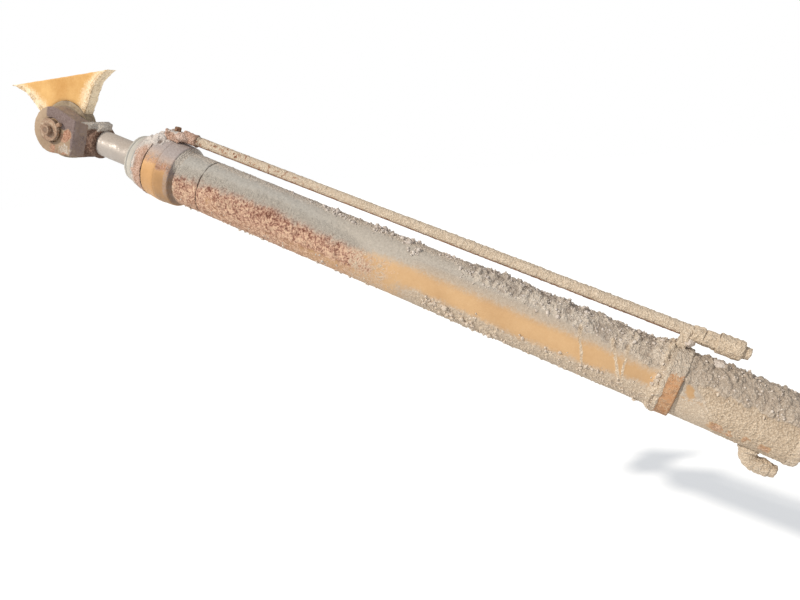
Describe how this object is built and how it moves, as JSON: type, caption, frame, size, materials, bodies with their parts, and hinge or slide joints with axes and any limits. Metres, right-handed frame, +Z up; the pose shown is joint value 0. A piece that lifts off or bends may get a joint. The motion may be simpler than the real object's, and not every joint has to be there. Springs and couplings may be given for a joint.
{
  "type": "hydraulic tipping cylinder",
  "caption": "Tipping cylinder with a rod eye on the pin of a weld-on bracket, a collared and banded barrel, a hard feed tube and a base eye, rusted, dusty and caked with mud.",
  "frame": {"origin": "centre of the frame pin's spigot at its shoulder", "axes": "+X towards the truck's front, past the base end; +Y inboard along both pins; +Z up, with the cylinder sloping 23.4 degrees"},
  "size_m": [2.7968, 0.259, 1.3463],
  "materials": {
    "orange_paint": "worn orange paint under dust, mud and rust",
    "tube_paint": "painted tube crusted with dry mud",
    "rod_steel": "dull hard-chromed bar with a film of dust",
    "eye_steel": "rusted forging with patches of dust",
    "bracket_paint": "worn orange paint with dust and mud on its edges",
    "bracket_steel": "dusty painted steel",
    "fasteners": "weathered zinc with rust and dust",
    "bush_bronze": "greasy bronze",
    "gland_steel": "turned steel under pale mud",
    "wiper": "pale dusty wiper seal"
  },
  "bodies": {
    "base_stub": {"base_stub": "bracket_steel", "base_retainer": "fasteners", "base_bolt": "fasteners"},
    "barrel": {"base_eye": "orange_paint", "base_bush": "bush_bronze", "base_nipple": "fasteners", "base_plate": "orange_paint", "barrel_tube": "orange_paint", "base_port_boss": "orange_paint", "base_elbow": "tube_paint", "base_adapter": "fasteners", "head_collar": "orange_paint", "gland": "gland_steel", "wiper_ring": "wiper", "head_port_block": "orange_paint", "head_port_plug": "fasteners", "front_nut": "fasteners", "feed_tube": "tube_paint", "rear_nut": "fasteners", "tube_adapter": "fasteners", "band_clamp": "orange_paint", "band_bolt": "fasteners", "tube_saddle": "orange_paint"},
    "rod": {"rod": "rod_steel", "piston": "gland_steel", "rod_eye": "eye_steel", "rod_bush": "bush_bronze"},
    "bracket": {"bracket_boss": "bracket_steel", "bracket_gusset": "bracket_paint", "bracket_pin": "eye_steel", "pin_keeper": "fasteners", "keeper_bolt": "fasteners", "keeper_tab": "fasteners"}
  },
  "joints": [
    {"name": "base_pivot", "type": "hinge", "parent": "base_stub", "child": "barrel", "pos_m": [0, 0, 0], "axis": [0, 1, 0], "range_deg": [-8, 45]},
    {"name": "rod_slide", "type": "slide", "parent": "barrel", "child": "rod", "axis": [-0.9178, 0, 0.3971], "range_m": [0, 1.78]},
    {"name": "rod_pivot", "type": "hinge", "parent": "rod", "child": "bracket", "pos_m": [-2.46876, -0.077, 1.06833], "axis": [0, 1, 0], "range_deg": [-115, 6]}
  ]
}
